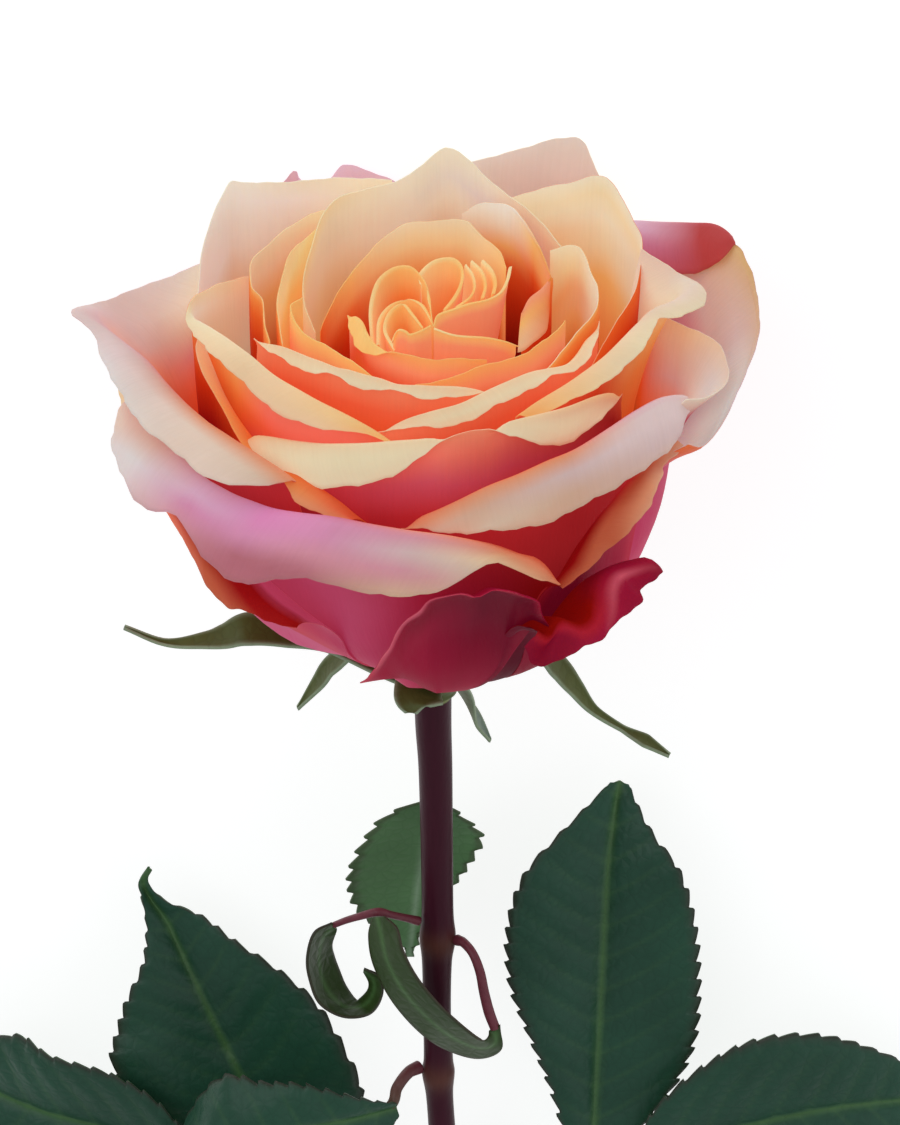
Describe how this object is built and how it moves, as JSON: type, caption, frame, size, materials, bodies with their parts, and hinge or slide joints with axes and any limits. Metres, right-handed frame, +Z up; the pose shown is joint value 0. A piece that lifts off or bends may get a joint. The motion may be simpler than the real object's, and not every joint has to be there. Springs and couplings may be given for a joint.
{
  "type": "rose flower",
  "caption": "Cut rose with one open bloom of layered petals, lying on its back with its stem, compound leaves and sepals.",
  "frame": {"origin": "centre of the small flat spot on the back of the bloom that the rose rests on", "axes": "+Y along the length of the rose, from the cut end of the stem towards the bloom; +X to the right as seen from the bloom's front; +Z up from the surface that it lies on"},
  "size_m": [0.1614, 0.2718, 0.0958],
  "materials": {
    "petals": "soft satin petals, peach-orange inside and pink to crimson outside",
    "sepals": "matte green, grey-green underneath",
    "stem": "smooth dark maroon bark",
    "leaves": "dark green with a soft sheen",
    "young_leaf": "grey-green, matte",
    "bracts": "olive green with a soft sheen"
  },
  "bodies": {
    "root": {"bloom": "petals", "calyx": "sepals", "stem": "stem", "leaf_left": "leaves", "leaf_right": "leaves", "leaf_back": "young_leaf", "bract_left": "bracts", "bract_right": "bracts"}
  },
  "joints": []
}
